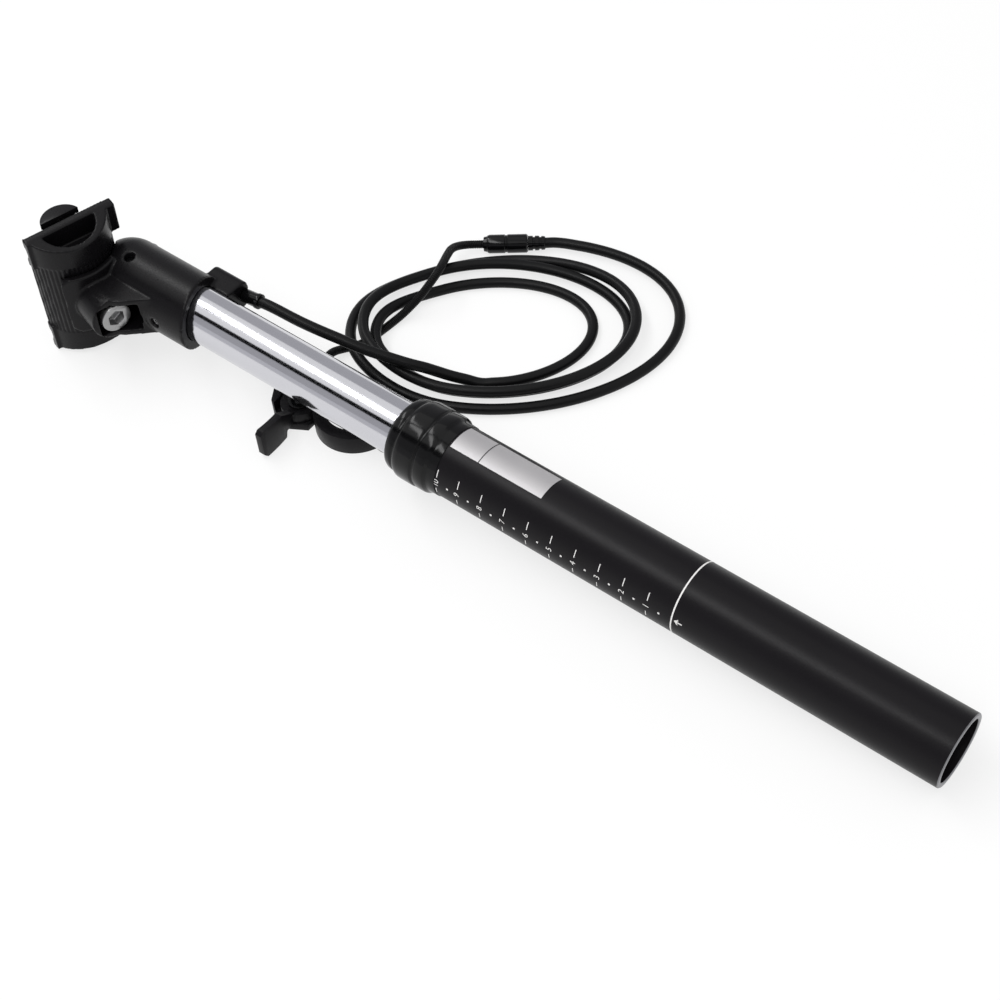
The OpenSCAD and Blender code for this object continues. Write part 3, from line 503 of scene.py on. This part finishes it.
coil_start_dir = (coil_at(coil_from + 0.005) - coil_at(coil_from)).normalized()
coil_end_raw = coil_at(coil_to) - coil_at(coil_to - 0.005)
coil_end_angle = math.atan2(coil_end_raw.y, coil_end_raw.x) + adjuster_turn
coil_end_dir = Vector((math.cos(coil_end_angle), math.sin(coil_end_angle), 0))
coil_steps = round((coil_to - coil_from) * coil_points_a_turn)
nose_from = coil_at(coil_to) + coil_end_dir * cable_d_mm
run_route = [stop_point(-ferrule_len_mm), stop_point(-ferrule_len_mm - cable_d_mm)]
run_route += [Vector(p) for p in (
    (95.7, -22.5, 24), (87.6, -24.3, 22.2), (79.6, -26.4, 20.4), (71.8, -28.6, 18.4), (64.6, -31.4, 16.4),
    (58.6, -34, 14.6), (53.5, -36.5, 13), (50, -39.1, 11.2), (46.9, -42.1, 8.4), (42.7, -45.1, 5.8),
    (37.8, -48.4, 3.6))]
run_route.append(coil_at(coil_from) - coil_start_dir * cable_d_mm)
coil_route = [coil_at(coil_from + (coil_to - coil_from) * i / coil_steps) for i in range(coil_steps + 1)]
cable_route = run_route + coil_route + [nose_from]
cable = wear_finish(cable_curve("cable", cable_route, cable_d_mm), housing)
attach(cable, "upper")
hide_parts("cable_run", "cable_coil")

# Inline adjuster: a nose with two grooves and a longer sleeve with one, turned from aluminium
# and anodised gloss black. It screws apart to take up slack in the cable.
nose_len_mm, sleeve_len_mm = 7.0, 18.0
nose_r_mm = 3.0
on_cord = Matrix.Translation(nose_from * MM) @ coil_end_dir.to_track_quat("Z", "Y").to_matrix().to_4x4()
nose = turned("inline_nose_finished", [
    (2.2, 0.02), (2.5, 0.02), (2.75, 0.3), (2.85, 1.5), (2.45, 1.7), (2.45, 2.3), (2.9, 2.5), (nose_r_mm, 3.0),
    (nose_r_mm, 4.1), (2.5, 4.3), (2.5, 4.9), (nose_r_mm, 5.1), (nose_r_mm, 6.9), (2.2, 6.9)], steps=64)
sleeve = turned("inline_sleeve_finished", [
    (1.75, 7.05), (3.3, 7.05), (sleeve_r_mm, 7.6), (sleeve_r_mm, 15.2), (3.5, 15.5), (3.5, 16.2),
    (sleeve_r_mm, 16.5), (sleeve_r_mm, 22.6), (3.5, 23.4), (3.2, 23.6), (2.9, 24.95), (1.75, 24.95)], steps=64)
for adjuster_piece, node in ((nose, "inline_nose"), (sleeve, "inline_sleeve")):
    wear_finish(shade(settle(adjuster_piece, on_cord), 35), gloss_anodised)
    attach(adjuster_piece, "upper")
    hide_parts(node)

# Tail: thinner housing of wound flat wire in black vinyl, so that each turn of the wire shows as a rib.
# It goes from the adjuster over the far side of the coil and under its near end to the remote's barrel.
# One rib is turned, repeated along a line and bent onto the route.
rib_pitch_mm = 0.75
rib_root_r_mm, rib_sides = 1.48, 20
wire_r_mm = 0.5
tail_from = nose_from + coil_end_dir * (nose_len_mm + sleeve_len_mm)
ring_x_mm, ring_y_mm = 257.0, -7.8
barrel_mouth = Vector((ring_x_mm + 29 - mid_x_mm, ring_y_mm - 15.6 - mid_y_mm, 4))
tail_route = [tail_from, tail_from + coil_end_dir * tail_d_mm]
tail_route += [Vector(p) for p in (
    (83.6, -106.8, 4.5), (84.8, -103.1, 6), (84.3, -99.2, 8), (81.6, -93.4, 11), (78.6, -87.2, 13.2),
    (76.4, -80.8, 13.8), (76.1, -75.2, 12.2), (77.4, -70.8, 8.8), (79.2, -66.8, 5.6), (80.8, -62.2, 3.2),
    (82, -57.2, 2.1), (82.8, -52, 1.8), (83.5, -46.8, 1.8), (84.8, -42.2, 1.8), (86.8, -38.4, 1.9),
    (88.7, -34.8, 2.6), (89.7, -31.6, 3.5))]
tail_route += [barrel_mouth - Vector((0, tail_d_mm, 0)), barrel_mouth]
tail_line = cable_curve("tail_line", tail_route, 0)
tail_line.data.twist_mode = "MINIMUM"
tail_len_mm = tail_line.data.splines[0].calc_length() / MM
rib_count = round(tail_len_mm / rib_pitch_mm)
rib_step_mm = tail_len_mm / rib_count
tail = turned("cable_tail_finished", [
    (wire_r_mm, 0), (rib_root_r_mm, 0), (tail_d_mm / 2 - 0.04, 0.22 * rib_step_mm),
    (tail_d_mm / 2, 0.5 * rib_step_mm), (tail_d_mm / 2 - 0.04, 0.78 * rib_step_mm),
    (rib_root_r_mm, rib_step_mm), (wire_r_mm, rib_step_mm)], steps=rib_sides)
settle(tail, Matrix.Rotation(math.radians(90), 4, "Y"))
row = tail.modifiers.new("row", "ARRAY")
row.count, row.use_relative_offset, row.use_constant_offset = rib_count, False, True
row.constant_offset_displace = (rib_step_mm * MM, 0, 0)
bpy.ops.object.modifier_apply(modifier="row")
bent = tail.modifiers.new("bent", "CURVE")
bent.object, bent.deform_axis = tail_line, "POS_X"
bpy.ops.object.modifier_apply(modifier="bent")
bpy.data.objects.remove(tail_line)
wear_finish(shade(tail, 50), housing)
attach(tail, "upper")
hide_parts("cable_tail")

# Studio: a pale floor in a white room, one long soft box over the post, cards that give the polished tube
# its bands, and the camera of the photograph.
light_level = 0.72
floor_glow = 0.72
bpy.ops.object.select_all(action="DESELECT")
bpy.ops.mesh.primitive_plane_add(size=6)
floor = bpy.context.object
floor.name = "floor"


def seen_rays(tree):
    """One for rays that show the room itself, to the camera, in gloss or through glass."""
    path = put(tree, "ShaderNodeLightPath")
    either = put(tree, "ShaderNodeMath", {0: path.outputs["Is Camera Ray"], 1: path.outputs["Is Glossy Ray"]},
                 operation="MAXIMUM")
    return put(tree, "ShaderNodeMath", {0: either.outputs[0], 1: path.outputs["Is Transmission Ray"]},
               operation="MAXIMUM")


paper = bpy.data.materials.new("white_paper")
paper.use_nodes = True
tree = paper.node_tree
tree.nodes.clear()
seen = seen_rays(tree)
share = put(tree, "ShaderNodeMath", {0: seen.outputs[0], 1: floor_glow}, operation="MULTIPLY")
matte = put(tree, "ShaderNodeBsdfDiffuse", {"Color": linear("#F2F2F2")})
glow = put(tree, "ShaderNodeEmission", {"Color": linear("#FFFFFF"), "Strength": 1.0})
both = put(tree, "ShaderNodeMixShader", {0: share.outputs[0], 1: matte.outputs[0], 2: glow.outputs[0]})
put(tree, "ShaderNodeOutputMaterial", {"Surface": both.outputs[0]})
floor.data.materials.append(paper)

world = bpy.data.worlds.new("white_room")
bpy.context.scene.world = world
world.use_nodes = True
tree = world.node_tree
tree.nodes.clear()
seen = seen_rays(tree)
white = put(tree, "ShaderNodeBackground", {"Color": linear("#FFFFFF"), "Strength": 1.0})
room = put(tree, "ShaderNodeBackground", {"Color": linear("#FFFFFF"), "Strength": light_level})
both = put(tree, "ShaderNodeMixShader", {0: seen.outputs[0], 1: room.outputs[0], 2: white.outputs[0]})
put(tree, "ShaderNodeOutputWorld", {"Surface": both.outputs[0]})


def soft_box(name, at, wide, tall, watts):
    """A rectangular lamp aimed at the middle of the object."""
    lamp = bpy.data.lights.new(name, "AREA")
    lamp.shape, lamp.size, lamp.size_y, lamp.energy = "RECTANGLE", wide, tall, watts
    held = bpy.data.objects.new(name, lamp)
    bpy.context.scene.collection.objects.link(held)
    held.location = at
    held.rotation_euler = (-Vector(at)).to_track_quat("-Z", "Y").to_euler()
    return held


soft_box("key_box", (0.3, 0.34, 1.1), 2.4, 0.24, 12)


def card(name, low_deg, high_deg, away, grey):
    """A long studio card beside the post that only reflections see, between two angles above the floor."""
    bpy.ops.object.select_all(action="DESELECT")
    bpy.ops.mesh.primitive_plane_add(size=1)
    panel = bpy.context.object
    panel.name = panel.data.name = name
    middle = math.radians((low_deg + high_deg) / 2)
    panel.scale = (4, 2 * away * math.tan(math.radians(high_deg - low_deg) / 2), 1)
    panel.rotation_euler = (middle + math.pi / 2, 0, 0)
    panel.location = (0.4, away * math.cos(middle), away * math.sin(middle))
    panel.visible_camera = panel.visible_diffuse = panel.visible_shadow = False
    cloth = bpy.data.materials.new(name + "_felt")
    cloth.use_nodes = True
    cloth.node_tree.nodes.clear()
    lit = put(cloth.node_tree, "ShaderNodeEmission", {"Color": linear(grey), "Strength": 1.0})
    put(cloth.node_tree, "ShaderNodeOutputMaterial", {"Surface": lit.outputs[0]})
    panel.data.materials.append(cloth)


# Angles are those at which the tube's skin mirrors each card: a dark stripe with greys around it.
card("dark_card", 43, 58, 0.9, "#0C0D0F")
card("near_card", 18, 43, 0.9, "#B6B6BA")
card("low_card", 2, 18, 0.9, "#D4D4D8")
card("gap_card", 84, 88, 0.9, "#8E8E92")
card("far_card", 125, 178, 0.9, "#BDBDC1")

camera_at = Vector((-0.30256, 0.31842, 0.52917))
camera_aim = Vector((-0.00723, -0.01058, 0.0))
camera_roll = math.radians(-5.777)
lens_mm = 68.4
camera = bpy.data.objects.new("camera", bpy.data.cameras.new("camera"))
bpy.context.scene.collection.objects.link(camera)
camera.location = camera_at
turn = (camera_aim - camera_at).to_track_quat("-Z", "Y").to_matrix() @ Matrix.Rotation(camera_roll, 3, "Z")
camera.rotation_euler = turn.to_euler()
camera.data.lens = lens_mm
camera.data.sensor_width = 36
bpy.context.scene.camera = camera
bpy.context.scene.view_settings.view_transform = "Standard"
